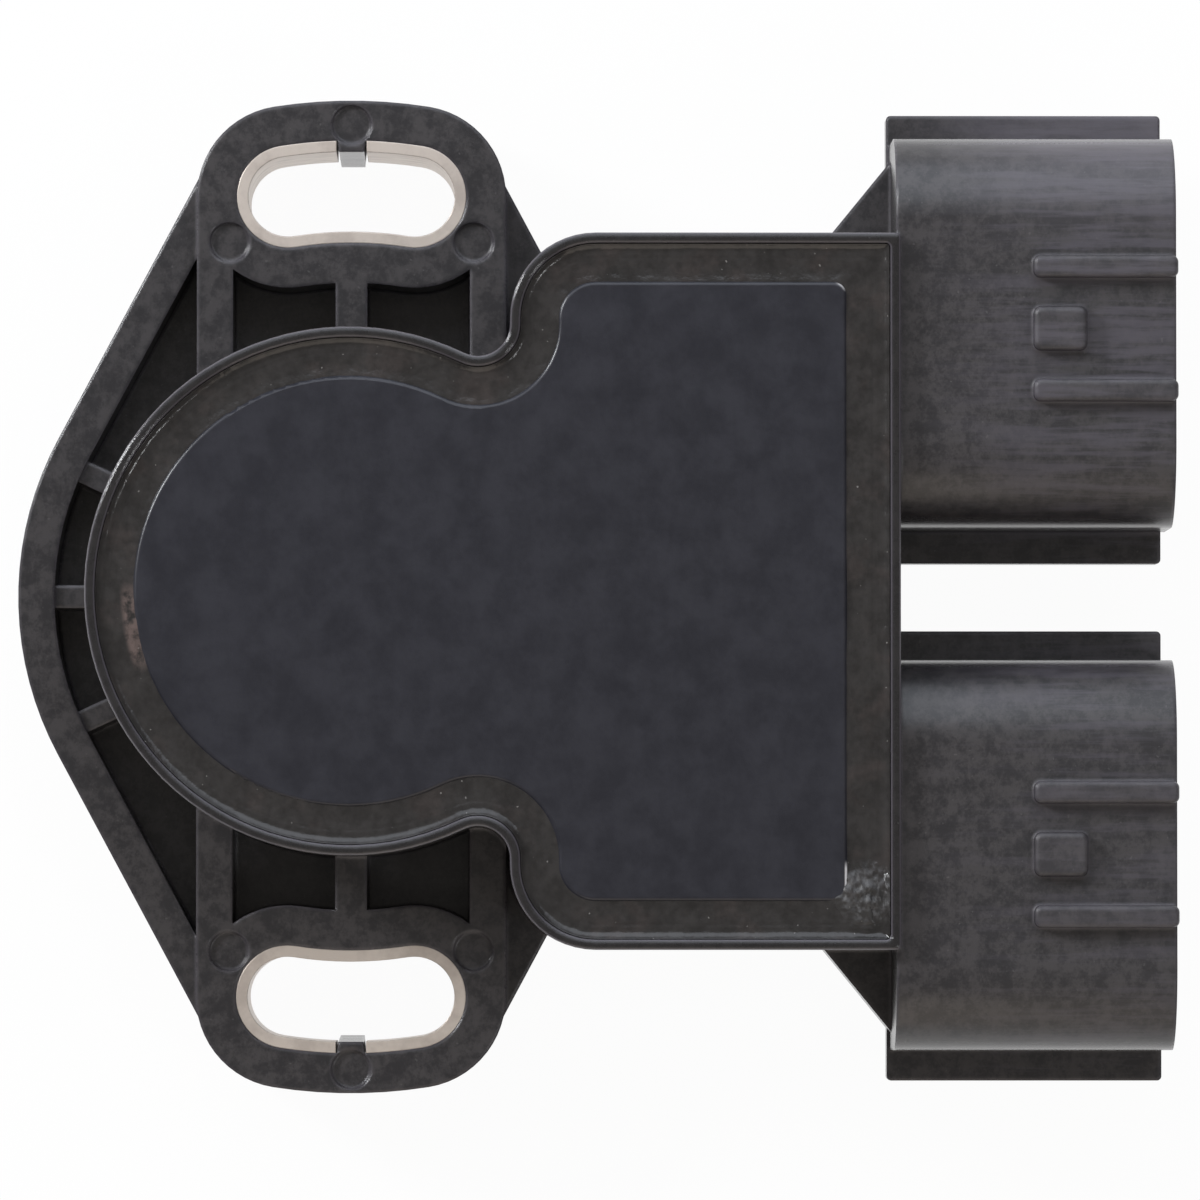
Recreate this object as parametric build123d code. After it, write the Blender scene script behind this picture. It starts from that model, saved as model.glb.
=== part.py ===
from build123d import *
from math import acos, asin, cos, degrees, radians, sin, sqrt
import os

# Throttle position sensor for an engine's throttle body, with two plug connectors.
# The rotor turns about Z, the mounting face is the plane z = 0 and the cover faces +Z.
# The slotted ears stand along X, and the connectors point to -Y. Sizes are in millimetres.

# Mounting flange with its pockets and ribs
flange_radius = 22.1
flange_floor = 2.5
rim_height = 8.0
rim_width = 2.4
rim_setback = 0.2
side_rib_width = 2.4
centre_rib_width = 2.1
cross_rib_width = 1.5
cross_rib_height = 7.6
cross_rib_angles = (65.0, 90.0, 115.0)

# Slotted ears and their steel bushes
ear_angles = (0.0, 180.0)
ear_height = 9.0
slot_radius = 26.85
slot_half_angle = 9.0
slot_width = 5.3
bush_wall = 0.75
bush_split = 2.0
nib_draft_depth = 0.35
nib_tip_width = 1.6
ear_wall = 2.65
bush_hole_width = slot_width + 2 * bush_wall
ear_width = bush_hole_width + 2 * ear_wall
ear_end_radius = ear_width / 2

# Round ejector marks on the ears
mark_radius = 1.3
mark_depth = 0.3
mark_edge_distance = 1.6
mark_inward_shift = 2.0
mark_past_slot = 10.0

# Stack of pieces along the rotor's axis, from the mounting face up to the lip
register_depth = 2.5
seal_section = 1.8
seal_roof = 1.2
spring_room = 3.5
rotor_float = 0.1
disc_thickness = 1.5
wiper_room = 2.4
board_thickness = 1.0
cover_room = 3.2
cover_depth = 2.8
chamber_floor = register_depth + seal_section + seal_roof
boss_top = chamber_floor + spring_room
disc_bottom = boss_top + rotor_float
disc_top = disc_bottom + disc_thickness
board_underside = disc_top + wiper_room
board_top = board_underside + board_thickness
cover_seat = board_top + cover_room
body_height = cover_seat + cover_depth

# Keyhole body: a round end over the rotor, run into a box over the terminals
body_radius = 17.25
box_half_width = 23.4
box_near = 10.5
box_far = 36.0
box_corner = 5.6
box_far_corner = 0.3
smallest_corner = 0.4
corner_share = 0.95
neck_radius = 2.1
floor_wall = 2.0
wall = 1.6
lip = 0.68
lip_round = 0.2
overcut = 1.0
box_underside = chamber_floor - floor_wall
neck_reach = sqrt((body_radius + neck_radius) ** 2 - (box_near - neck_radius) ** 2)

# Stepped cover and the sealing bead in the channel round it
cover_step_height = 1.0
cover_inset = 3.15
cover_far_setback = 0.35
cover_gap = 0.1
cover_sunk_depth = 0.4
cover_round = 0.3
cover_far_corner = 0.9
bead_sunk_depth = 0.6
cover_top = body_height - cover_sunk_depth
bead_top = body_height - bead_sunk_depth

# Register recess and bearing on the mounting side
register_radius = 11.0
bearing_radius = 7.0
bearing_gap = 0.05
boss_wall = 1.6
seal_width = 2.15
bore_radius = bearing_radius + bearing_gap
boss_radius = bore_radius + boss_wall
seal_radius = bore_radius + seal_width

# Connector shrouds with their side rails, guide ribs, lock lugs and gussets
shroud_width = 25.65
shroud_height = 14.6
shroud_length = 18.05
shroud_overhang = 6.6
shroud_bottom = 4.4
shroud_merge = 0.25
shroud_near_corner = 5.4
shroud_far_corner = 2.4
shroud_wall = 1.7
shroud_floor = 2.1
rail_width = 2.1
rail_height = 2.2
rail_setback = 0.25
rail_back_reach = 0.2
rail_corner = 0.3
guide_offset = 4.05
guide_width = 1.45
guide_height = 1.0
guide_length = 9.45
guide_corner = 0.45
guide_round = 0.3
guide_proud = 0.1
lug_width = 2.9
lug_length = 3.5
lug_height = 0.9
lug_corner = 0.5
lug_round = 0.35
gusset_length = 4.45
gusset_setback = 1.15
gusset_height = 5.0
shroud_top = shroud_bottom + shroud_height
shroud_root = box_far - shroud_merge
shroud_end = box_far + shroud_length
connector_reach = box_half_width + shroud_overhang - shroud_width / 2
guide_start = shroud_end + guide_proud - guide_length

# Blade terminals, three to a connector
blade_pitch = 4.6
blade_width = 2.3
blade_thickness = 0.64
blade_recess = 4.5
blade_taper = 1.2
tail_pitch = 3.6
tail_width = 1.4
tail_margin = 1.5
tail_bend = 0.6
tail_height = 1.0
blade_tip = shroud_end - blade_recess
blade_level = (shroud_bottom + shroud_top) / 2
tail_reach = box_far - wall - tail_margin

# Rotor with its stop lug and drive socket, and the stops in the housing
rotor_travel = 90.0
rotor_recess = 0.2
rest_angle = 45.0
lug_half_angle = 5.0
lug_room = 1.25
lug_step = 2.0
stop_gap = 0.15
stop_width = 2.0
stop_room = 0.4
peg_radius = 0.6
peg_length = 1.1
socket_radius = 4.6
socket_flat = 3.2
socket_roof = 2.0
rotor_end = register_depth + rotor_recess
socket_top = disc_top - socket_roof
stop_lug_radius = body_radius - wall - lug_room
disc_radius = stop_lug_radius - lug_step
stop_inner_radius = disc_radius + stop_room
peg_reach = (disc_radius + stop_lug_radius) / 2
stop_half_angle = degrees(asin(stop_width / 2 / stop_inner_radius))
stop_gap_angle = degrees(stop_gap / stop_inner_radius)
stop_offset = lug_half_angle + stop_half_angle + stop_gap_angle
stop_angles = (rest_angle - stop_offset, rest_angle + rotor_travel + stop_offset)

# Circuit board with its posts, tracks and solder
board_gap = 0.3
board_hole_gap = 0.12
post_radius = 1.8
post_margin = 1.35
post_setback = 6.5
pin_radius = 0.9
pin_height = 1.8
solder_radius = 1.2
solder_height = 0.7
track_thickness = 0.06
track_width = 1.6
track_edge_distance = 2.0
track_spacing = 3.0
contact_margin = 10.0
switch_land = 28.0
post_reach = box_half_width - wall - post_margin - post_radius
post_distance = box_near + post_setback
outer_track_radius = disc_radius - track_edge_distance
inner_track_radius = outer_track_radius - track_spacing

# Wipers on the rotor, and the return spring round the bearing boss
wiper_thickness = 0.2
wiper_half_angle = 14.0
finger_width = 1.2
finger_length = 3.0
finger_gap = 0.1
stake_radius = 0.4
stake_height = 0.7
spring_wire = 0.7
spring_coils = 3
spring_gap = 0.05
spring_clearance = 1.6
spring_radius = boss_radius + spring_clearance + spring_wire / 2
spring_pitch = (spring_room - spring_wire - 2 * spring_gap) / spring_coils


def polar(radius, angle):
    """Point in the XY plane at a distance from the rotor's axis, with the angle in degrees."""
    return Vector(radius * cos(radians(angle)), radius * sin(radians(angle)))


def block(x_range, y_range, z_range):
    """Upright block between two limits along each axis."""
    size = [high - low for low, high in (x_range, y_range, z_range)]
    centre = [(high + low) / 2 for low, high in (x_range, y_range, z_range)]
    return Pos(*centre) * Box(*size)


def raised(sketch, bottom, top):
    """Prism over a flat outline, between two heights."""
    return extrude(Pos(0, 0, bottom) * sketch, top - bottom, dir=(0, 0, 1))


def disc(radius, bottom, top):
    """Upright cylinder about the rotor's axis."""
    return raised(Circle(radius), bottom, top)


def radial_rib(angle, width, inner, outer, bottom, top):
    """Rib that runs straight out from the rotor's axis."""
    return Rot(0, 0, angle) * block((inner, outer), (-width / 2, width / 2), (bottom, top))


def kidney(angle, width, radius=slot_radius, half_angle=slot_half_angle):
    """Curved slot outline on a circle about the rotor's axis."""
    return SlotArc(CenterArc((0, 0), radius, angle - half_angle, 2 * half_angle), width)


def shoulder(inset):
    """Radius of the corners beside the necks, within the room that the necks leave there."""
    room = box_half_width - inset - neck_reach
    return min(max(box_corner - inset, smallest_corner), corner_share * room)


def corners_on(outline, level):
    """Corners of a flat outline that lie on a line across the part, those near its middle first."""
    near_enough = 0.01
    corners = [v for v in outline.vertices() if abs(v.Y - level) < near_enough]
    return sorted(corners, key=lambda v: abs(v.X))


def keyhole(inset, far_corner, far_setback=0.0):
    """Outline of the body, drawn inset from its outer face, and set back further from its far side."""
    round_end = Circle(body_radius - inset)
    near = box_near + inset
    far = box_far - inset - far_setback
    half = box_half_width - inset
    outline = round_end + Pos(0, -(near + far) / 2) * Rectangle(2 * half, far - near)
    necks = corners_on(outline, -near)[:2]
    outline = fillet(necks, neck_radius + inset)
    shoulders = corners_on(outline, -near)[-2:]
    outline = fillet(shoulders, shoulder(inset))
    return fillet(corners_on(outline, -far), far_corner)


def flange_outline(inset=0.0):
    """Rhombic flange: the round middle and both ears, with tangents just inside the ears as its sides."""
    middle = flange_radius - inset
    end = ear_end_radius - inset
    side = ear_end_radius - rim_setback
    lean = slot_half_angle + degrees(acos((flange_radius - side) / slot_radius))
    outline = Circle(middle)
    for ear in ear_angles:
        sides = [
            polar(middle, ear - lean),
            polar(slot_radius, ear - slot_half_angle) + polar(side - inset, ear - lean),
            polar(slot_radius, ear + slot_half_angle) + polar(side - inset, ear + lean),
            polar(middle, ear + lean),
        ]
        outline += kidney(ear, 2 * end) + Polygon(*sides, align=None)
    return outline


def shroud_section(centre, inset=0.0):
    """Section of one connector shroud, with large corners on the cover side."""
    half = shroud_width / 2 - inset
    bottom = shroud_bottom + inset
    top = shroud_top - inset
    section = Pos(0, (bottom + top) / 2) * Rectangle(2 * half, top - bottom)
    upper = section.vertices().group_by(Axis.Y)[-1]
    section = fillet(upper, shroud_near_corner - inset)
    lower = section.vertices().group_by(Axis.Y)[0]
    section = fillet(lower, shroud_far_corner - inset)
    return Plane.XZ * Pos(centre, 0) * section


def connector_side(centre):
    """Which side of the part a connector is on: 1 along +X, -1 along -X."""
    return 1 if centre > 0 else -1


def flange():
    """Mounting flange with its ears, ribs, outer rim and pockets, open towards the cover."""
    plate = raised(flange_outline(), 0, flange_floor)
    rim = raised(flange_outline() - flange_outline(rim_width), 0, rim_height)
    rib_outer = ear_end_radius + slot_radius * sin(radians(slot_half_angle))
    rib_inner = rib_outer - side_rib_width
    rim_side = block((-2 * flange_radius, 2 * flange_radius), (rib_inner, 2 * flange_radius), (0, rim_height))
    solid = plate + rim.intersect(rim_side)
    for ear in ear_angles:
        solid += raised(kidney(ear, ear_width), 0, ear_height)
        ear_middle = slot_radius * cos(radians(slot_half_angle))
        ribs = block((box_near, ear_middle), (rib_inner, rib_outer), (0, ear_height))
        ribs += block((box_near, ear_middle), (-rib_outer, -rib_inner), (0, ear_height))
        centre_reach = slot_radius - ear_width / 2 + ear_wall / 2
        half_rib = centre_rib_width / 2
        ribs += block((box_near, centre_reach), (-half_rib, half_rib), (0, ear_height))
        solid += Rot(0, 0, ear) * ribs
    for angle in cross_rib_angles:
        outer = flange_radius - rim_width / 2
        solid += radial_rib(angle, cross_rib_width, box_near, outer, 0, cross_rib_height)
    return solid


def ear_cuts():
    """Openings for the slot bushes, less the drafted nib in each bush's split, and the ejector marks."""
    cuts = None
    nib_face = slot_radius + slot_width / 2
    nib_back = nib_face + 2 * bush_wall
    nib_foot = nib_face - nib_draft_depth
    nib_side = [(nib_foot, 0), (nib_back, 0), (nib_back, ear_height), (nib_face, ear_height)]
    nib_plan = [
        (nib_foot, -nib_tip_width / 2),
        (nib_back, -bush_split / 2),
        (nib_back, bush_split / 2),
        (nib_foot, nib_tip_width / 2),
    ]
    nib = extrude(Plane.XZ * Polygon(*nib_side, align=None), bush_split / 2, both=True)
    nib &= raised(Polygon(*nib_plan, align=None), 0, ear_height)
    for ear in ear_angles:
        opening = raised(kidney(ear, bush_hole_width), 0, ear_height) - Rot(0, 0, ear) * nib
        spots = [polar(slot_radius + ear_width / 2 - mark_edge_distance, ear)]
        for lean in (-slot_half_angle - mark_past_slot, slot_half_angle + mark_past_slot):
            spots.append(polar(slot_radius - mark_inward_shift, ear + lean))
        for spot in spots:
            opening += Pos(*spot) * disc(mark_radius, ear_height - mark_depth, ear_height + overcut)
        cuts = opening if cuts is None else cuts + opening
    return cuts


def body_shell():
    """Outside of the keyhole body, with its thin rounded lip."""
    shell = raised(keyhole(0, box_far_corner), box_underside, body_height)
    shell = fillet(shell.edges().group_by(Axis.Z)[-1], lip_round)
    recess = raised(keyhole(lip, box_far_corner), cover_seat, body_height)
    shell -= recess
    inner_rim = [e for e in shell.edges().group_by(Axis.Z)[-1] if is_inside(e)]
    return fillet(inner_rim, lip_round)


def is_inside(edge):
    """Whether an edge of the lip belongs to its inner side."""
    middle = edge.position_at(0.5)
    probe = keyhole(lip - lip_round, box_far_corner).face()
    return probe.is_inside(Vector(middle.X, middle.Y, 0))


def raised_bar(centre, length, width, corner, height, edge_round):
    """Rounded bar that stands up from the cover side of a shroud, from where the guide ribs start."""
    plan = Pos(centre, -guide_start - length / 2) * RectangleRounded(width, length, corner)
    bar = raised(plan, shroud_top - shroud_wall / 2, shroud_top + height)
    return fillet(bar.edges().group_by(Axis.Z)[-1], edge_round)


def connector(centre):
    """Shroud of one connector with its side rails, guide ribs, lock lug and gusset, still solid."""
    solid = extrude(Pos(0, -shroud_root, 0) * shroud_section(centre), shroud_end - shroud_root)
    rail_reach = shroud_width / 2 + rail_width
    rails = block(
        (centre - rail_reach, centre + rail_reach),
        (-shroud_end + rail_setback, -shroud_root + rail_back_reach),
        (shroud_bottom, shroud_bottom + rail_height),
    )
    solid += fillet(rails.edges().filter_by(Axis.Z), rail_corner)
    for offset in (-guide_offset, guide_offset):
        guide_x = centre + offset
        solid += raised_bar(guide_x, guide_length, guide_width, guide_corner, guide_height, guide_round)
    solid += raised_bar(centre, lug_length, lug_width, lug_corner, lug_height, lug_round)
    side = connector_side(centre)
    inner = side * (box_half_width - wall / 2)
    face = side * box_half_width
    outer = side * (box_half_width + shroud_overhang - gusset_setback)
    back = -shroud_root + gusset_length
    sunk = -shroud_root - shroud_floor / 2
    web = Polygon(
        (inner, sunk), (outer, sunk), (outer, -shroud_root), (face, back), (inner, back), align=None
    )
    return solid + raised(web, shroud_bottom, shroud_bottom + gusset_height)


def mouth(centre):
    """Hollow of one connector, from its open end to its floor."""
    depth = shroud_end - shroud_root - shroud_floor
    section = shroud_section(centre, shroud_wall)
    return extrude(Pos(0, -(shroud_root + shroud_floor), 0) * section, depth + overcut)


def chamber():
    """Hollow under the cover, less what stands up in it: bearing boss, rotor stops and board posts."""
    hollow = raised(keyhole(wall, box_far_corner), chamber_floor, cover_seat)
    hollow -= disc(boss_radius, chamber_floor, boss_top)
    for angle in stop_angles:
        reach = body_radius - wall / 2
        hollow -= radial_rib(angle, stop_width, stop_inner_radius, reach, chamber_floor, board_underside)
    for side in (-1, 1):
        place = Pos(side * post_reach, -post_distance)
        hollow -= place * disc(post_radius, chamber_floor, board_underside)
        hollow -= place * disc(pin_radius, chamber_floor, board_top + pin_height)
    return hollow


def rotor_passage():
    """Register recess, seal seat and bearing bore, one behind the other from the mounting face."""
    passage = disc(register_radius, -overcut, register_depth)
    passage += disc(seal_radius, register_depth, register_depth + seal_section)
    return passage + disc(bore_radius, register_depth, boss_top + overcut)


def blade_terminal(connector_centre, place):
    """Flat blade that runs from the plug through the housing and turns up through the board."""
    side = connector_side(connector_centre)
    innermost = abs(connector_centre) - blade_pitch
    blade_x = side * (innermost + place * blade_pitch)
    tail_x = side * (innermost + place * tail_pitch)
    top = board_top + tail_height
    path = FilletPolyline(
        (-blade_tip, blade_level), (-tail_reach, blade_level), (-tail_reach, top), radius=tail_bend
    )
    strip = extrude(Plane.YZ * trace(path, blade_thickness), 2 * box_half_width, both=True)
    jog_start = shroud_root + shroud_floor - blade_thickness / 2
    jog_end = box_far - wall + blade_thickness / 2
    half = blade_width / 2
    tail = tail_width / 2
    right = [
        (blade_x + half - blade_taper / 2, -blade_tip),
        (blade_x + half, -blade_tip + blade_taper),
        (blade_x + half, -jog_start),
        (tail_x + tail, -jog_end),
        (tail_x + tail, -tail_reach + blade_thickness),
    ]
    left = [
        (tail_x - tail, -tail_reach + blade_thickness),
        (tail_x - tail, -jog_end),
        (blade_x - half, -jog_start),
        (blade_x - half, -blade_tip + blade_taper),
        (blade_x - half + blade_taper / 2, -blade_tip),
    ]
    plan = raised(Polygon(*right, *left, align=None), blade_level - blade_thickness, top + overcut)
    return strip.intersect(plan).solid(), (tail_x, -tail_reach)


def housing(terminals):
    """One black moulding: flange, body and both connectors, moulded round the terminals."""
    foot = raised(flange_outline() & keyhole(0, box_far_corner), 0, box_underside + wall)
    solid = flange() + foot + body_shell()
    for centre in (-connector_reach, connector_reach):
        solid += connector(centre)
    cuts = [mouth(centre) for centre in (-connector_reach, connector_reach)]
    cuts += [ear_cuts(), chamber(), rotor_passage()]
    return solid - cuts - terminals


def cover_plate():
    """Stepped plate: a low step on the housing's ledge and a raised middle that shows."""
    step = raised(keyhole(lip + cover_gap, box_far_corner), cover_seat, cover_seat + cover_step_height)
    middle = raised(keyhole(cover_inset, cover_far_corner, cover_far_setback), cover_seat, cover_top)
    edge_round = min(cover_round, shoulder(cover_inset) / 2)
    middle = fillet(middle.edges().group_by(Axis.Z)[-1], edge_round)
    return step + middle


def sealing_bead():
    """Hardened sealing resin, cast into the channel between the cover and the lip."""
    channel = keyhole(lip, box_far_corner)
    channel -= keyhole(cover_inset, cover_far_corner, cover_far_setback)
    return raised(channel, cover_seat + cover_step_height, bead_top)


def slot_bush(ear):
    """Steel strip rolled to the shape of the slot, split in the middle of its outer side."""
    ring = raised(kidney(ear, bush_hole_width) - kidney(ear, slot_width), 0, ear_height)
    inner = slot_radius + slot_width / 2 - bush_wall
    outer = inner + 4 * bush_wall
    return ring - radial_rib(ear, bush_split, inner, outer, -overcut, ear_height + overcut)


def rotor_seal():
    """Rubber ring in the seal seat, round the rotor's hub."""
    ring = disc(seal_radius, register_depth, register_depth + seal_section)
    return ring - disc(bore_radius, register_depth, register_depth + seal_section)


def circuit_board(tails):
    """Board that carries the tracks, on the rotor stops and posts, with holes for pins and tails."""
    outline = keyhole(wall + board_gap, box_far_corner)
    for side in (-1, 1):
        outline -= Pos(side * post_reach, -post_distance) * Circle(pin_radius + board_hole_gap)
    for tail in tails:
        hole = Rectangle(tail_width + 2 * board_hole_gap, blade_thickness + 2 * board_hole_gap)
        outline -= Pos(*tail) * hole
    return raised(outline, board_underside, board_top)


def track(radius, wiper_angle, start, end):
    """Printed track on the underside of the board, under a wiper's tip from one rotor angle to another."""
    tip_angle = wiper_angle + degrees(asin(finger_length / radius))
    band = kidney(tip_angle + (start + end) / 2, track_width, radius, (end - start) / 2)
    return raised(band, board_underside - track_thickness, board_underside)


def solder_joints(tails):
    """One cone of solder round each terminal's tail."""
    joints = []
    on_base = (Align.CENTER, Align.CENTER, Align.MIN)
    for tail in tails:
        cone = Cone(solder_radius, solder_radius / 2, solder_height, align=on_base)
        tail_hole = Box(tail_width, blade_thickness, 4 * solder_height)
        joints.append(Pos(*tail, board_top) * (cone - tail_hole))
    return joints


def rotor():
    """Plastic rotor: hub with the shaft's drive socket, disc with the stop lug, and wiper stakes."""
    hub = disc(bearing_radius, rotor_end, disc_top)
    lug_start = polar(stop_lug_radius, rest_angle - lug_half_angle)
    lug_end = polar(stop_lug_radius, rest_angle + lug_half_angle)
    outer = RadiusArc(lug_start, lug_end, -stop_lug_radius)
    sector = make_face([Line((0, 0), lug_start), outer, Line(lug_end, (0, 0))])
    solid = hub + disc(disc_radius, disc_bottom, disc_top) + raised(sector, disc_bottom, disc_top)
    solid += Pos(*polar(peg_reach, rest_angle)) * disc(peg_radius, disc_bottom - peg_length, disc_top)
    for angle in wiper_angles():
        stake = Pos(*polar(stake_reach(), angle)) * disc(stake_radius, disc_bottom, disc_top + stake_height)
        solid += stake
    socket = Circle(socket_radius) & Rectangle(2 * socket_radius, 2 * socket_flat)
    return solid - raised(socket, rotor_end - overcut, socket_top)


def wiper_angles():
    """Where the sensor's wiper and the switch's wiper stand on the rotor at rest."""
    return (rest_angle + 180, rest_angle)


def stake_reach():
    """Distance of a wiper's stake from the rotor's axis."""
    return (outer_track_radius + inner_track_radius) / 2


def wiper(angle):
    """Springy contact: a base staked to the rotor, and a finger up to each of two tracks."""
    base_width = outer_track_radius - inner_track_radius + 2 * finger_width
    base = kidney(angle, base_width, stake_reach(), wiper_half_angle)
    base -= Pos(*polar(stake_reach(), angle)) * Circle(stake_radius)
    solid = raised(base, disc_top, disc_top + wiper_thickness)
    tip_level = board_underside - track_thickness - finger_gap - wiper_thickness / 2
    base_level = disc_top + wiper_thickness / 2
    for radius in (inner_track_radius, outer_track_radius):
        path = FilletPolyline(
            (-finger_length / 2, base_level),
            (0, base_level),
            (finger_length, tip_level),
            (finger_length + finger_width, tip_level - finger_width / 2),
            radius=finger_width / 2,
        )
        strip = extrude(Plane.YZ * trace(path, wiper_thickness), finger_width / 2, both=True)
        foot_radius = sqrt(radius**2 - finger_length**2)
        solid += Rot(0, 0, angle) * Pos(foot_radius, 0, 0) * strip
    return solid


def return_spring():
    """Torsion spring round the bearing boss, with a leg on a rotor stop and a leg on the rotor's peg."""
    low = chamber_floor + spring_gap + spring_wire / 2
    leg_room = spring_wire / 2 + spring_gap
    top_angle = rest_angle + degrees(asin((peg_radius + leg_room) / peg_reach))
    start_angle = stop_angles[1] - degrees(asin((stop_width / 2 + leg_room) / stop_inner_radius))
    turns = spring_coils - (start_angle - top_angle) / 360
    coil_height = spring_pitch * turns
    helix = Helix(spring_pitch, coil_height, spring_radius)
    section = Plane(helix @ 0, z_dir=helix % 0) * Circle(spring_wire / 2)
    coil = Rot(0, 0, start_angle) * Pos(0, 0, low) * sweep(section, path=helix, is_frenet=True)
    leg = Rot(0, 90, 0) * Cylinder(
        spring_wire / 2, peg_reach + peg_radius - spring_radius, align=(Align.CENTER, Align.CENTER, Align.MIN)
    )
    solid = coil
    for angle, level in ((start_angle, low), (top_angle, low + coil_height)):
        solid += Rot(0, 0, angle) * Pos(spring_radius, 0, level) * leg
        solid += Rot(0, 0, angle) * Pos(spring_radius, 0, level) * Sphere(spring_wire / 2)
    return solid


def build():
    """All pieces of the sensor, by name."""
    pieces = {}
    tails = []
    connectors = (
        (connector_reach, ("sensor_terminal_ground", "sensor_terminal_supply", "sensor_terminal_signal")),
        (-connector_reach, ("switch_terminal_idle", "switch_terminal_common", "switch_terminal_open")),
    )
    for centre, names in connectors:
        for place, name in enumerate(names):
            pieces[name], tail = blade_terminal(centre, place)
            tails.append(tail)
    pieces["housing"] = housing(list(pieces.values()))
    pieces["cover_plate"] = cover_plate()
    pieces["sealing_bead"] = sealing_bead()
    for name, ear in zip(("slot_bush_right", "slot_bush_left"), ear_angles):
        pieces[name] = slot_bush(ear)
    pieces["rotor_seal"] = rotor_seal()
    pieces["circuit_board"] = circuit_board(tails)
    pieces["solder_joints"] = Compound(children=solder_joints(tails))
    sensor_angle, switch_angle = wiper_angles()
    low, high = -contact_margin, rotor_travel + contact_margin
    pieces["resistor_track"] = track(outer_track_radius, sensor_angle, low, high)
    pieces["collector_track"] = track(inner_track_radius, sensor_angle, low, high)
    pieces["switch_common_track"] = track(inner_track_radius, switch_angle, low, high)
    pieces["switch_idle_track"] = track(outer_track_radius, switch_angle, low, low + switch_land)
    pieces["switch_open_track"] = track(outer_track_radius, switch_angle, high - switch_land, high)
    pieces["rotor"] = rotor()
    pieces["sensor_wiper"] = wiper(sensor_angle)
    pieces["switch_wiper"] = wiper(switch_angle)
    pieces["return_spring"] = return_spring()
    return pieces


os.makedirs("parts", exist_ok=True)
for name, solid in build().items():
    export_step(solid, f"parts/{name}.step")
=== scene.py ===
from math import atan2, pi, sqrt

import bpy
from mathutils import Matrix, Vector


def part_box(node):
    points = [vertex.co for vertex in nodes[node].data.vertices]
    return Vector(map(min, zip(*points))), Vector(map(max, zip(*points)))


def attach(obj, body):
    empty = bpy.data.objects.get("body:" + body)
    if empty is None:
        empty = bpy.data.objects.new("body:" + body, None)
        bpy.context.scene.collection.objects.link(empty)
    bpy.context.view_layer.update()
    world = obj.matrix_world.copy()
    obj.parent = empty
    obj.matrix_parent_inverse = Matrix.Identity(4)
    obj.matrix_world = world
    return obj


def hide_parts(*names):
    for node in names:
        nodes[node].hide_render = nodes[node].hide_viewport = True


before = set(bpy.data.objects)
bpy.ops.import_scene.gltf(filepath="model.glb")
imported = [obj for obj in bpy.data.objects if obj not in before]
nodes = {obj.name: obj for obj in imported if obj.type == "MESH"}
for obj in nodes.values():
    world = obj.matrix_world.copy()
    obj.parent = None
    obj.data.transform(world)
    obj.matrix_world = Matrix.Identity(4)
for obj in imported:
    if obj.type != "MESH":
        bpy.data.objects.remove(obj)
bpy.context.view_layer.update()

bpy.ops.object.select_all(action="DESELECT")
mm = 0.001


# Housing
# One black moulding of glass-filled nylon: flange, ears, keyhole body and both plug shrouds.
# It leaves the mould with a fine satin skin and pale flow marks along the shrouds. A film of resin
# darkens the lip.
# Painted highlights pale its sharp edges and the lip's roundings, and a painted sheen pales the
# right-hand shroud, the tops of its guide ribs and the flow marks on that side.
class Signal:
    """A shader socket in Python arithmetic: each operation adds a Math node and gives its result."""

    def __init__(self, finish, socket):
        self.finish = finish
        self.socket = socket

    def math(self, operation, *values):
        settings = {"operation": operation}
        return self.finish.add("Math", settings, dict(enumerate(values)))

    def __add__(self, other):
        return self.math("ADD", self, other)

    def __sub__(self, other):
        return self.math("SUBTRACT", self, other)

    def __rsub__(self, other):
        return self.math("SUBTRACT", other, self)

    def __mul__(self, other):
        return self.math("MULTIPLY", self, other)

    __radd__ = __add__
    __rmul__ = __mul__


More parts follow.
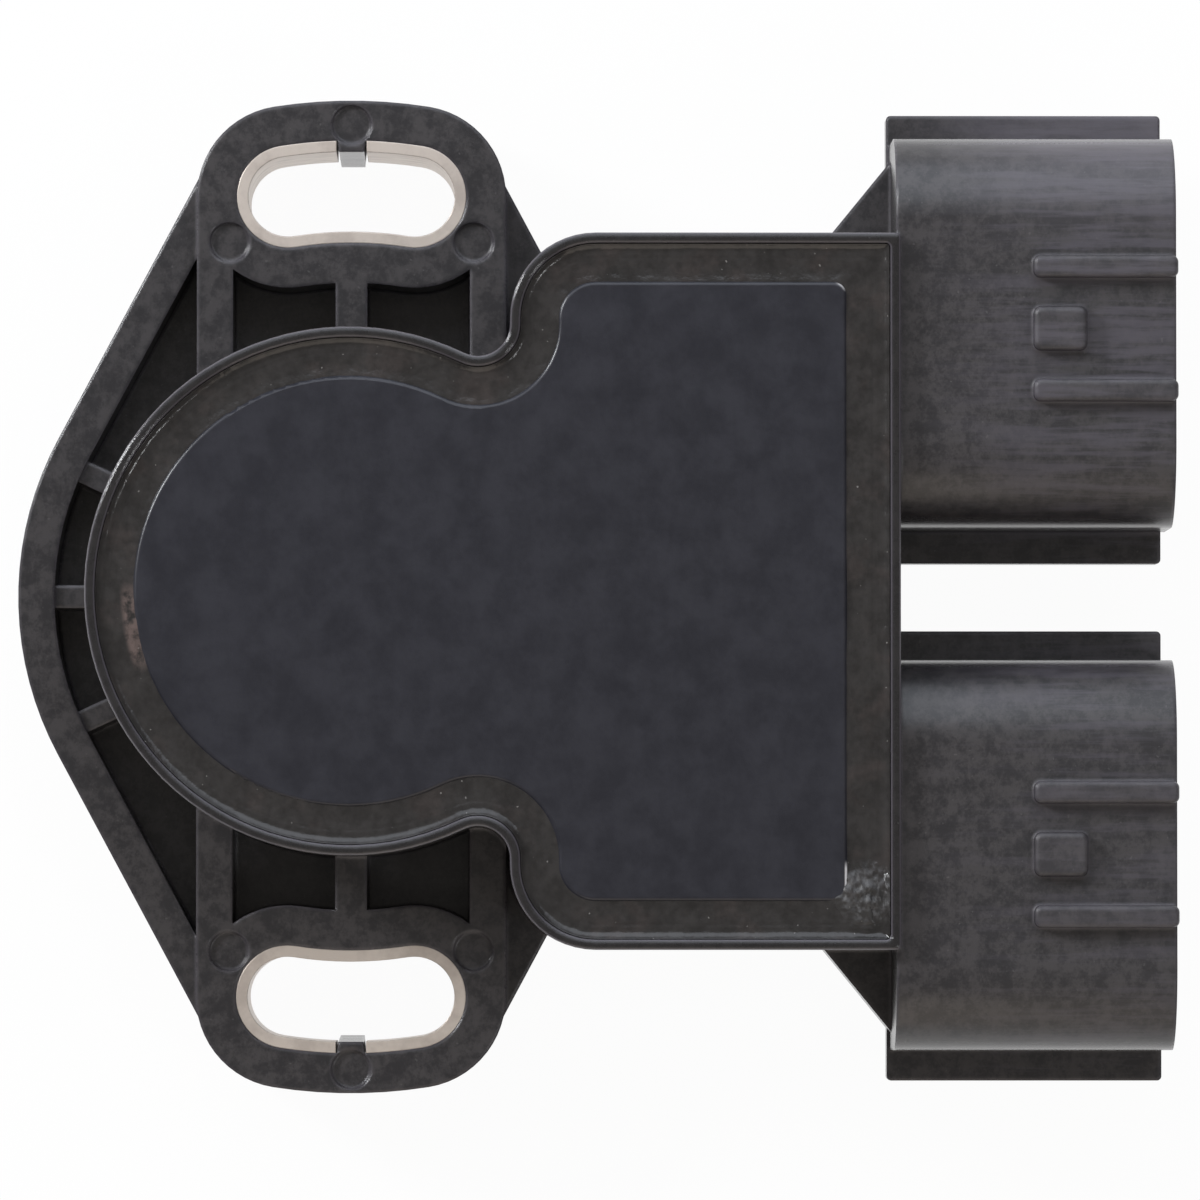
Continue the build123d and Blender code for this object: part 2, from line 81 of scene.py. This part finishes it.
class Finish:
    """The material of a piece: a Principled shader and the nodes that feed it."""

    def __init__(self, name, constants):
        self.material = bpy.data.materials.new(name)
        self.material.use_nodes = True
        self.tree = self.material.node_tree
        self.shader = self.tree.nodes["Principled BSDF"]
        for socket, value in constants.items():
            self.shader.inputs[socket].default_value = value
        self.place = self.add("TexCoord", {}, {}, "Object")

    def add(self, kind, settings, inputs, output=0):
        """A node of one kind: its settings first, then the values or links of its sockets."""
        node = self.tree.nodes.new("ShaderNode" + kind)
        for name, value in settings.items():
            setattr(node, name, value)
        for socket, value in inputs.items():
            self.feed(node.inputs[socket], value)
        return Signal(self, node.outputs[output])

    def feed(self, socket, value):
        """A link from a signal, or a plain value, into a socket."""
        if isinstance(value, Signal):
            self.tree.links.new(value.socket, socket)
        else:
            socket.default_value = value

    def noise(self, scale, detail=4.0, rough=0.55, stretch=(1, 1, 1)):
        """Cloudy pattern between 0 and 1, drawn out along an axis by a small stretch value."""
        place = self.add("Mapping", {}, {"Vector": self.place, "Scale": stretch})
        sockets = {"Vector": place, "Scale": scale, "Detail": detail, "Roughness": rough}
        return self.add("TexNoise", {}, sockets)

    def step(self, value, low, high):
        """Smooth rise from 0 to 1 as a value goes from low to high."""
        settings = {"interpolation_type": "SMOOTHSTEP"}
        sockets = {"Value": value, "From Min": low, "From Max": high}
        return self.add("MapRange", settings, sockets)

    def mix(self, share, first, second):
        """Blend of two colours."""
        return self.add("Mix", {"data_type": "RGBA"}, {0: share, 6: first, 7: second}, 2)

    def axis(self, name):
        """One coordinate of the place on the surface."""
        return self.add("SeparateXYZ", {}, {"Vector": self.place}, name)

    def near(self, place, inner, outer):
        """1 within a distance of a place, falling to 0 at a larger distance."""
        distance = self.add("VectorMath", {"operation": "DISTANCE"}, {0: self.place, 1: place}, "Value")
        return 1 - self.step(distance, inner, outer)

    def facing_up(self):
        """The upward share of the surface's normal: 1 on a level top, 0 on an upright wall."""
        facing = self.add("NewGeometry", {}, {}, "Normal")
        return self.add("SeparateXYZ", {}, {"Vector": facing}, "Z")

    def eased(self, radius):
        """Normal of the surface with its sharp edges eased."""
        return self.add("Bevel", {"samples": 6}, {"Radius": radius})

    def edges(self, normal, low, high):
        """1 along sharp edges, where an eased normal leans away from the true one, and 0 elsewhere."""
        true = self.add("NewGeometry", {}, {}, "True Normal")
        leaning = self.add("VectorMath", {"operation": "DOT_PRODUCT"}, {0: normal, 1: true}, "Value")
        return self.step(1 - leaning, low, high)

    def relief(self, height, depth, normal=None):
        """Normal of the surface with a small relief on it."""
        sockets = {"Height": height, "Distance": depth, "Strength": 1.0}
        if normal:
            sockets["Normal"] = normal
        return self.add("Bump", {}, sockets)

    def wear(self, *names):
        """Puts the finish on CAD nodes."""
        for name in names:
            nodes[name].data.materials.clear()
            nodes[name].data.materials.append(self.material)

    def shade(self, **signals):
        """Feeds signals to the Principled shader's sockets, spelt with _ for a space."""
        for name, signal in signals.items():
            self.feed(self.shader.inputs[name.replace("_", " ")], signal)


housing_dark = (0.021, 0.0198, 0.0222, 1)
housing_pale = (0.050, 0.0462, 0.048, 1)
flow_tone = (0.078, 0.071, 0.086, 1)
# Pale tone of the painted sheen and the painted highlights.
painted_highlight_tone = (0.120, 0.110, 0.128, 1)
lip_tone = (0.013, 0.0125, 0.013, 1)
dust_tone = (0.12, 0.117, 0.115, 1)
edge_ease = 0.4 * mm
skin_relief = 0.006 * mm
shroud_root = -35.5 * mm
shroud_full = -48 * mm
film_edge = 19.2 * mm
film_full = 19.4 * mm
rib_top = 19.7 * mm
# Where the painted sheen on the right-hand shroud begins and where it is full, along X.
sheen_start = 20 * mm
sheen_full = 33 * mm
streak_fade = 20 * mm

housing = Finish("housing_black", {"Specular IOR Level": 0.6})
clouds = housing.noise(scale=800, detail=6, rough=0.78)
flow = housing.noise(scale=700, detail=6, rough=0.65, stretch=(1, 0.12, 1))
drawn = housing.noise(scale=2600, detail=3, rough=0.6, stretch=(1, 0.06, 1))
grain = housing.noise(scale=5200, detail=2, rough=0.5)
specks = housing.step(housing.noise(scale=3400, detail=1, rough=0.4), 0.76, 0.80)

across = housing.axis("X")
height = housing.axis("Z")
upward = housing.facing_up()
eased = housing.eased(edge_ease)
on_top = housing.step(upward, 0.3, 0.7)
on_shroud = 1 - housing.step(housing.axis("Y"), shroud_full, shroud_root)
on_lip = housing.step(height, film_edge, film_full) * (1 - on_shroud)
# Painted highlights on the lip's roundings.
painted_lip_highlights = on_lip * housing.step(upward, 0.05, 0.3) * (1 - housing.step(upward, 0.80, 0.98))
# Painted highlights along sharp edges, which are also made a little glossier.
painted_edge_highlight = housing.edges(eased, 0.012, 0.16)
# Painted sheen: paler towards +X on the right-hand shroud, and on the tops of the guide ribs and lug.
painted_sheen = housing.step(across, sheen_start, sheen_full) * 0.95
painted_sheen = painted_sheen + housing.step(height, film_edge, rib_top) * 0.25
# Painted light: the flow marks are painted paler towards +X.
painted_light_side = housing.step(across, -streak_fade, streak_fade)
streaks_and_sheen = housing.step(flow * 0.6 + drawn * 0.4, 0.45, 0.59) * on_shroud * (0.42 + painted_light_side * 0.33)
clouded_skin = (housing.step(clouds, 0.39, 0.61) - 0.5) * (0.4 + on_top * 0.6) + 0.5

housing_tone = housing.mix(clouded_skin, housing_dark, housing_pale)
housing_tone = housing.mix(on_lip * 0.75, housing_tone, lip_tone)
housing_tone = housing.mix(streaks_and_sheen, housing_tone, flow_tone)
# Painted sheen, painted edge highlights and painted lip highlights, all in the pale tone.
housing_tone = housing.mix(painted_sheen * on_shroud * (0.1 + flow), housing_tone, painted_highlight_tone)
housing_tone = housing.mix(painted_edge_highlight * 0.5, housing_tone, painted_highlight_tone)
housing_tone = housing.mix(painted_lip_highlights * 0.6, housing_tone, painted_highlight_tone)
housing_tone = housing.mix(specks * 0.35, housing_tone, dust_tone)
satin = 0.15 + on_top * (0.10 + on_shroud * 0.13)
housing.shade(
    Base_Color=housing_tone,
    Roughness=satin + flow * 0.12 + grain * 0.05 - painted_edge_highlight * 0.05 - on_lip * 0.18,
    Normal=housing.relief(grain + flow * 0.6, depth=skin_relief, normal=eased),
)
housing.wear("housing")


# Slot bushes
# Each is a plated steel strip, rolled to the slot's shape and moulded into the ear,
# with its ends apart in the middle of the outer side and a fine mill grain along the strip.
bush_tone = (0.74, 0.66, 0.59, 1)
bush_dull = (0.57, 0.50, 0.445, 1)
bush_edge = (0.16, 0.13, 0.11, 1)
bush_edge_ease = 0.12 * mm
bush = Finish("bush_steel", {"Metallic": 0.5})
mill = bush.noise(scale=1500, detail=5, rough=0.6, stretch=(0.25, 0.25, 1.6))
bush_eased = bush.eased(bush_edge_ease)
strip_tone = bush.mix(bush.step(mill, 0.4, 0.7), bush_tone, bush_dull)
bush.shade(
    Base_Color=bush.mix(bush.edges(bush_eased, 0.03, 0.2) * 0.6, strip_tone, bush_edge),
    Roughness=0.26 + mill * 0.22,
    Normal=bush.relief(mill, depth=0.01 * mm, normal=bush_eased),
)
bush.wear("slot_bush_right", "slot_bush_left")


# Rotor seal
# A black rubber ring pressed into its seat in the housing, round the rotor's hub.
# It is matte, with a faint dusty bloom.
rubber_black = (0.016, 0.016, 0.017, 1)
bloom_grey = (0.034, 0.034, 0.035, 1)
seal = Finish("seal_rubber", {"Specular IOR Level": 0.35})
bloom = seal.noise(scale=1500, detail=5, rough=0.6)
seal.shade(
    Base_Color=seal.mix(bloom, rubber_black, bloom_grey),
    Roughness=0.62 + bloom * 0.2,
    Normal=seal.relief(bloom, depth=0.02 * mm),
)
seal.wear("rotor_seal")


# Rotor
# A turned-looking moulding of low-friction black plastic, with the drive socket for the throttle shaft.
# Its rubbing faces are a little smoother than the housing.
rotor_dark = (0.020, 0.020, 0.022, 1)
rotor_pale = (0.040, 0.039, 0.040, 1)
rotor = Finish("rotor_plastic", {"Specular IOR Level": 0.5})
swirl = rotor.noise(scale=700, detail=4, rough=0.55, stretch=(1, 1, 0.2))
rotor.shade(
    Base_Color=rotor.mix(swirl, rotor_dark, rotor_pale),
    Roughness=0.34 + swirl * 0.16,
    Normal=rotor.relief(swirl, depth=0.012 * mm, normal=rotor.eased(radius=0.15 * mm)),
)
rotor.wear("rotor")


# Wipers
# Springy strips of phosphor bronze, blanked and bent, staked to the rotor's disc.
# They are bright, with a little tarnish.
bronze_bright = (0.78, 0.52, 0.24, 1)
bronze_tarnished = (0.52, 0.32, 0.15, 1)
bronze = Finish("contact_bronze", {"Metallic": 1.0})
tarnish = bronze.noise(scale=1200, detail=4, rough=0.6)
bronze.shade(
    Base_Color=bronze.mix(tarnish, bronze_bright, bronze_tarnished),
    Roughness=0.22 + tarnish * 0.2,
    Normal=bronze.relief(tarnish, depth=0.004 * mm),
)
bronze.wear("sensor_wiper", "switch_wiper")


# Return spring
# Hard-drawn steel wire, coiled round the bearing boss, with fine die marks along it.
# It pulls the rotor back to its stop.
wire_bright = (0.42, 0.42, 0.43, 1)
wire_dark = (0.27, 0.27, 0.28, 1)
spring = Finish("spring_steel", {"Metallic": 1.0})
die_marks = spring.noise(scale=3200, detail=3, rough=0.5, stretch=(1, 1, 0.3))
spring.shade(
    Base_Color=spring.mix(die_marks, wire_bright, wire_dark),
    Roughness=0.28 + die_marks * 0.15,
    Normal=spring.relief(die_marks, depth=0.006 * mm),
)
spring.wear("return_spring")


# Terminals
# Tin-plated brass blades, stamped and bent, moulded into the floor of each shroud.
# Stamping leaves fine lines along them, and the tin is slightly mottled.
tin_bright = (0.74, 0.73, 0.70, 1)
tin_dull = (0.55, 0.54, 0.51, 1)
tin = Finish("terminal_tinned", {"Metallic": 1.0})
stamp = tin.noise(scale=2600, detail=4, rough=0.6, stretch=(1, 0.08, 1))
mottle = tin.noise(scale=800, detail=3, rough=0.5)
tin.shade(
    Base_Color=tin.mix(mottle, tin_bright, tin_dull),
    Roughness=0.24 + stamp * 0.2,
    Normal=tin.relief(stamp, depth=0.008 * mm, normal=tin.eased(radius=0.1 * mm)),
)
terminal_names = [name for name in nodes if "_terminal_" in name]
tin.wear(*terminal_names)


# Circuit board, tracks and solder
# Brown phenolic laminate with printed carbon and silver tracks on its underside,
# and a soft solder cone round each terminal's tail. All of it is closed in by the cover.
laminate_dark = (0.30, 0.18, 0.08, 1)
laminate_pale = (0.42, 0.27, 0.13, 1)
board = Finish("board_laminate", {"Specular IOR Level": 0.4})
paper = board.noise(scale=1800, detail=6, rough=0.65, stretch=(1, 0.3, 1))
board.shade(
    Base_Color=board.mix(paper, laminate_dark, laminate_pale),
    Roughness=0.42 + paper * 0.2,
    Normal=board.relief(paper, depth=0.01 * mm),
)
board.wear("circuit_board")

carbon_black = (0.012, 0.012, 0.013, 1)
carbon_grey = (0.030, 0.030, 0.031, 1)
carbon = Finish("track_carbon", {"Specular IOR Level": 0.4})
print_grain = carbon.noise(scale=6000, detail=3, rough=0.6)
carbon.shade(
    Base_Color=carbon.mix(print_grain, carbon_black, carbon_grey),
    Roughness=0.45 + print_grain * 0.2,
)
carbon.wear("resistor_track")

silver_bright = (0.70, 0.69, 0.66, 1)
silver_dull = (0.54, 0.53, 0.50, 1)
silver = Finish("track_silver", {"Metallic": 1.0})
silver_grain = silver.noise(scale=6000, detail=3, rough=0.6)
silver.shade(
    Base_Color=silver.mix(silver_grain, silver_bright, silver_dull),
    Roughness=0.3 + silver_grain * 0.2,
)
silver.wear("collector_track", "switch_common_track", "switch_idle_track", "switch_open_track")

solder_bright = (0.72, 0.72, 0.72, 1)
solder_dull = (0.52, 0.52, 0.53, 1)
solder = Finish("solder", {"Metallic": 1.0})
frost = solder.noise(scale=2500, detail=4, rough=0.6)
solder.shade(
    Base_Color=solder.mix(frost, solder_bright, solder_dull),
    Roughness=0.18 + frost * 0.25,
    Normal=solder.relief(frost, depth=0.01 * mm),
)
solder.wear("solder_joints")


# Cover plate
# A flat keyhole plate of blue-black plastic, smoother than the housing, sunk inside its lip.
# Handling has left it faintly mottled, and a white glint is painted on its rounded edge near the far
# corners.
cover_dark = (0.015, 0.0155, 0.022, 1)
cover_pale = (0.026, 0.0265, 0.035, 1)
# White of the painted glints.
glint_tone = (0.85, 0.84, 0.85, 1)
left_glint = Vector((-18.9, -32.4, 19.5)) * mm
left_glint_core = 0.7 * mm
left_glint_reach = 1.4 * mm
right_glint = Vector((20.1, -32.3, 19.5)) * mm
right_glint_core = 0.2 * mm
right_glint_reach = 0.6 * mm
cover = Finish("cover_black", {"Specular IOR Level": 0.5})
mottling = cover.noise(scale=420, detail=6, rough=0.68)
fine = cover.noise(scale=3500, detail=3, rough=0.5)
# Painted glints: white on the plate's rounded edge near the two far corners, fainter at the right one.
painted_glint = cover.near(left_glint, left_glint_core, left_glint_reach)
painted_glint = painted_glint + cover.near(right_glint, right_glint_core, right_glint_reach) * 0.6
painted_glint = painted_glint * (1 - cover.step(cover.facing_up(), 0.80, 0.97))
plate_tone = cover.mix(cover.step(mottling, 0.3, 0.7), cover_dark, cover_pale)
cover.shade(
    Base_Color=cover.mix(painted_glint, plate_tone, glint_tone),
    Roughness=0.24 + mottling * 0.12 + fine * 0.05,
    Normal=cover.relief(fine, depth=0.008 * mm),
)
cover.wear("cover_plate")


# Sealing bead
# Potting resin, run into the channel between the plate and the lip while it was liquid, and set hard.
# It creeps up the lip and the plate's edge, and has faint ridges along it, a brown stain at the round end
# and a rough lump in one far corner.
resin_low, resin_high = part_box("sealing_bead")
channel_width = 2.47 * mm
channel_far_width = 2.82 * mm
channel_near = 11.18 * mm
neck_round = 2.78 * mm
shoulder_round = 4.92 * mm
round_end = resin_high[1]
half_width = resin_high[0]
neck_y = neck_round - channel_near
neck_x = sqrt((round_end + neck_round) ** 2 - neck_y**2)
shoulder_x = half_width - shoulder_round
shoulder_y = -channel_near - shoulder_round
neck_turn = pi / 2 - atan2(neck_y, neck_x)
path_step = 0.4 * mm
hair = 0.01 * mm

# Distance from the lip and height above the resin's level, up onto the plate's edge and down below it
resin_profile = (
    (0.0, 0.42), (0.07, 0.335), (0.14, 0.26), (0.21, 0.195), (0.29, 0.135), (0.38, 0.09), (0.48, 0.06),
    (0.6, 0.05), (0.72, 0.055), (0.84, 0.05), (0.96, 0.025), (1.08, 0.035), (1.2, 0.03), (1.4, 0.005),
    (1.7, 0.0), (2.0, 0.01), (2.2, 0.03), (2.4, 0.055), (2.55, 0.065), (2.68, 0.06), (2.8, 0.035),
    (2.92, 0.005), (3.04, -0.04),
)
resin_section = [(distance * mm, resin_high[2] + rise * mm) for distance, rise in resin_profile]
resin_section.append((resin_section[-1][0], resin_low[2]))
resin_section.append((0.0, resin_low[2]))


def extrude_to(shift):
    """Draws the selection out by a shift."""
    bpy.ops.mesh.extrude_region_move(TRANSFORM_OT_translate={"value": shift})


def run_along(direction, length):
    """Draws the selected section out along a straight run, in short steps."""
    steps = max(1, round(length / path_step))
    for _ in range(steps):
        extrude_to(Vector(direction) * length / steps)


def turn_about(centre, angle, radius):
    """Spins the selected section clockwise about an upright axis, in short steps."""
    steps = max(2, round(abs(angle) * radius / path_step))
    bpy.ops.mesh.spin(steps=steps, angle=angle, center=centre, axis=(0, 0, 1))


def select_where(piece, test):
    """Selects the vertices of a piece in edit mode whose place passes a test."""
    bpy.ops.mesh.select_all(action="DESELECT")
    bpy.ops.object.mode_set(mode="OBJECT")
    for vertex in piece.data.vertices:
        vertex.select = test(vertex.co)
    bpy.ops.object.mode_set(mode="EDIT")
    bpy.ops.mesh.select_mode(type="VERT")


def cut_off(place, normal):
    """Cuts the selection at a plane and deletes what lies behind it."""
    plane = Vector(normal).normalized()
    bpy.ops.mesh.bisect(plane_co=place, plane_no=plane, clear_inner=True, threshold=hair / 100)


def apply_modifier(piece, kind, **settings):
    """Adds a modifier to a piece and applies it."""
    modifier = piece.modifiers.new(kind.lower(), kind)
    for name, value in settings.items():
        setattr(modifier, name, value)
    bpy.ops.object.modifier_apply(modifier=modifier.name)


bpy.ops.mesh.primitive_plane_add(size=mm, location=(0, 0, 0))
bead = bpy.context.object
bead.name = "resin_bead"
bpy.ops.object.mode_set(mode="EDIT")
bpy.ops.mesh.merge(type="CENTER")
bpy.ops.transform.translate(value=(0, round_end - resin_section[0][0], resin_section[0][1]))
for (distance, top), (next_distance, next_top) in zip(resin_section, resin_section[1:]):
    extrude_to((0, distance - next_distance, next_top - top))
select_where(bead, lambda place: place.y > round_end - hair)
bpy.ops.mesh.edge_face_add()
bpy.ops.mesh.select_all(action="SELECT")
turn_about((0, 0, 0), neck_turn, round_end)
turn_about((neck_x, neck_y, 0), -neck_turn, neck_round + channel_width)
run_along((1, 0, 0), shoulder_x - neck_x)
turn_about((shoulder_x, shoulder_y, 0), pi / 2, shoulder_round)
run_along((0, -1, 0), shoulder_y - resin_low[1] + channel_far_width)
select_where(bead, lambda place: place.x > shoulder_x and place.y < shoulder_y + path_step)
cut_off((half_width, resin_low[1], 0), (channel_far_width, channel_width, 0))
run_along((-1, 0, 0), half_width)
bpy.ops.mesh.select_all(action="SELECT")
cut_off((0, 0, 0), (1, 0, 0))
bpy.ops.object.mode_set(mode="OBJECT")
apply_modifier(bead, "MIRROR", merge_threshold=hair)
bpy.ops.object.mode_set(mode="EDIT")
bpy.ops.mesh.select_all(action="SELECT")
bpy.ops.mesh.remove_doubles(threshold=hair)
bpy.ops.mesh.normals_make_consistent(inside=False)
bpy.ops.object.mode_set(mode="OBJECT")
apply_modifier(bead, "SUBSURF", levels=1, render_levels=1)

wave_length = 1.2 * mm
wave_height = 0.08 * mm
crumb_size = 0.4 * mm
waves = bpy.data.textures.new("resin_waves", "CLOUDS")
waves.noise_scale = wave_length
waves.noise_depth = 3
lift = {"texture_coords": "LOCAL", "direction": "Z", "mid_level": 0.5}
apply_modifier(bead, "DISPLACE", texture=waves, strength=wave_height, **lift)
crumbs = bpy.data.textures.new("resin_crumbs", "CLOUDS")
crumbs.noise_scale = crumb_size
crumbs.noise_depth = 3


def swell(piece, name, place, reach, rise, texture=None):
    """Lifts the surface near a place, or sinks it, evenly or by a texture."""
    group = piece.vertex_groups.new(name=name)
    for vertex in piece.data.vertices:
        share = 1 - (vertex.co - place).length / reach
        if share > 0:
            group.add([vertex.index], share, "REPLACE")
    settings = {"direction": "Z", "texture_coords": "LOCAL", "mid_level": 0.0}
    apply_modifier(piece, "DISPLACE", texture=texture, strength=rise, vertex_group=name, **settings)


lump_place = Vector((-19.9, -33.6, 19.4)) * mm
lump_reach = 2.5 * mm
lump_height = 0.9 * mm
stain_place = Vector((-2.4, 14.2, 19.4)) * mm
stain_reach = 3.4 * mm
stain_rise = 0.10 * mm
edge_dip_place = Vector((-0.9, -32.2, 19.4)) * mm
edge_dip_reach = 3.4 * mm
edge_dip = 0.16 * mm
corner_dip_place = Vector((-18.3, -32.1, 19.4)) * mm
corner_dip_reach = 1.7 * mm
corner_dip = 0.25 * mm
swell(bead, "lump", lump_place, lump_reach, lump_height, crumbs)
swell(bead, "stain", stain_place, stain_reach, stain_rise)
swell(bead, "far_edge_dip", edge_dip_place, edge_dip_reach, -edge_dip)
swell(bead, "far_corner_dip", corner_dip_place, corner_dip_reach, -corner_dip)
bpy.ops.object.shade_smooth()

resin_dark = (0.019, 0.0178, 0.0175, 1)
resin_pale = (0.038, 0.0355, 0.0348, 1)
blush_tone = (0.090, 0.066, 0.060, 1)
stain_tone = (0.125, 0.093, 0.085, 1)
lump_tone = (0.075, 0.074, 0.076, 1)
resin_dust_tone = (0.30, 0.29, 0.28, 1)
stain_core = 1.6 * mm
stain_fade = 3.3 * mm
stain_limit = 14.6 * mm
lip_foot = 15.0 * mm
lump_core = 0.9 * mm
resin = Finish("sealing_resin", {"Specular IOR Level": 0.5})
runs = resin.noise(scale=420, detail=5, rough=0.6)
ripples = resin.noise(scale=1500, detail=4, rough=0.6)
clouded_resin = resin.step(runs * 0.5 + ripples * 0.5, 0.32, 0.68)
blush = resin.step(resin.noise(scale=300, detail=4, rough=0.6), 0.5, 0.66)
crumbled = resin.step(resin.noise(scale=2300, detail=3, rough=0.6), 0.45, 0.62)
dust = resin.step(resin.noise(scale=3600, detail=1, rough=0.4), 0.775, 0.80)
in_plan = resin.add("VectorMath", {"operation": "MULTIPLY"}, {0: resin.place, 1: (1, 1, 0)})
from_axis = resin.add("VectorMath", {"operation": "LENGTH"}, {0: in_plan}, "Value")
inside_lip = 1 - resin.step(from_axis, stain_limit, lip_foot)
stain = resin.near(stain_place, stain_core, stain_fade) * inside_lip
rough_lump = resin.near(lump_place, lump_core, lump_reach)

resin_tone = resin.mix(clouded_resin, resin_dark, resin_pale)
resin_tone = resin.mix(blush * ripples * 0.3, resin_tone, blush_tone)
resin_tone = resin.mix(stain * resin.step(ripples, 0.3, 0.6), resin_tone, stain_tone)
resin_tone = resin.mix(rough_lump * crumbled, resin_tone, lump_tone)
resin_tone = resin.mix(dust * 0.6, resin_tone, resin_dust_tone)
resin.shade(
    Base_Color=resin_tone,
    Roughness=0.11 + runs * 0.14 + rough_lump * 0.3,
    Normal=resin.relief(ripples, depth=0.045 * mm),
)
bead.data.materials.append(resin.material)
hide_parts("sealing_bead")
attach(bead, "sensor_body")


# Studio
# A white floor under a dim tent, with five softboxes: a broad one on the right ear's side, the brightest
# beyond the round end, and weaker ones round the rest. The camera looks almost straight down.
floor_size = 3.0
floor_gap = 0.05 * mm
bpy.ops.mesh.primitive_plane_add(size=floor_size, location=(0, 0, -floor_gap))
floor = bpy.context.object
floor.name = "studio_floor"
floor_glow = 0.96
floor_white = Finish("studio_white", {"Base Color": (0.9, 0.9, 0.9, 1), "Roughness": 0.9})
light_path = floor_white.tree.nodes.new("ShaderNodeLightPath")
camera_ray = Signal(floor_white, light_path.outputs["Is Camera Ray"])
glossy_ray = Signal(floor_white, light_path.outputs["Is Glossy Ray"])
transmission_ray = Signal(floor_white, light_path.outputs["Is Transmission Ray"])
seen = camera_ray + glossy_ray + transmission_ray
glow = floor_white.add("Emission", {}, {"Color": (1, 1, 1, 1), "Strength": 1.0})
matte = Signal(floor_white, floor_white.shader.outputs[0])
floor_surface = floor_white.add("MixShader", {}, {0: seen * floor_glow, 1: matte, 2: glow})
floor_output = floor_white.tree.nodes["Material Output"]
floor_white.tree.links.new(floor_surface.socket, floor_output.inputs["Surface"])
floor.data.materials.append(floor_white.material)

tent_top = 0.30
tent_wall = 0.14
tent_colour = (1.0, 0.94, 0.88, 1)
world = bpy.data.worlds.new("tent")
bpy.context.scene.world = world
world.use_nodes = True
tent = world.node_tree
tent_direction = tent.nodes.new("ShaderNodeTexCoord").outputs["Generated"]
tent_height = tent.nodes.new("ShaderNodeSeparateXYZ")
tent.links.new(tent_direction, tent_height.inputs[0])
tent_glow = tent.nodes.new("ShaderNodeMapRange")
tent_glow.inputs["To Min"].default_value = tent_wall
tent_glow.inputs["To Max"].default_value = tent_top
tent.links.new(tent_height.outputs["Z"], tent_glow.inputs["Value"])
backdrop = tent.nodes["Background"]
backdrop.inputs["Color"].default_value = tent_colour
tent.links.new(tent_glow.outputs[0], backdrop.inputs["Strength"])


def softbox(name, place, target, size, watts, colour):
    """Square area lamp that points at a target."""
    data = bpy.data.lights.new(name, "AREA")
    data.energy = watts
    data.color = colour
    data.size = size
    lamp = bpy.data.objects.new(name, data)
    lamp.location = place
    lamp.rotation_euler = (Vector(target) - Vector(place)).to_track_quat("-Z", "Y").to_euler()
    bpy.context.scene.collection.objects.link(lamp)


middle = (0, -16 * mm, 10 * mm)
cool = (0.84, 0.90, 1.0)
neutral = (0.96, 0.98, 1.0)
warm = (1.0, 0.89, 0.78)
softbox("key_softbox", (0.42, 0.03, 0.36), middle, size=0.6, watts=1.0, colour=cool)
softbox("corner_softbox", (0.24, -0.06, 0.17), middle, size=0.35, watts=0.40, colour=cool)
softbox("side_softbox", (0.26, 0.46, 0.28), middle, size=0.13, watts=2.8, colour=neutral)
softbox("low_softbox", (-0.45, -0.05, 0.22), middle, size=0.40, watts=0.48, colour=warm)
softbox("end_softbox", (-0.20, -0.32, 0.42), middle, size=0.08, watts=0.3, colour=neutral)

camera_place = Vector((-21.9, -9.85, 673)) * mm
camera_aim = Vector((-0.25, -16.48, 9)) * mm
film_width = 36
focal_length = 300.8
camera_data = bpy.data.cameras.new("camera")
camera_data.sensor_width = film_width
camera_data.lens = focal_length
camera = bpy.data.objects.new("camera", camera_data)
bpy.context.scene.collection.objects.link(camera)
camera_back = (camera_place - camera_aim).normalized()
camera_right = Vector((1, 0, 0)).cross(camera_back).normalized()
camera_up = camera_back.cross(camera_right)
camera_turn = Matrix((camera_right, camera_up, camera_back)).transposed().to_4x4()
camera.matrix_world = Matrix.Translation(camera_place) @ camera_turn
bpy.context.scene.camera = camera
bpy.context.scene.view_settings.view_transform = "Standard"
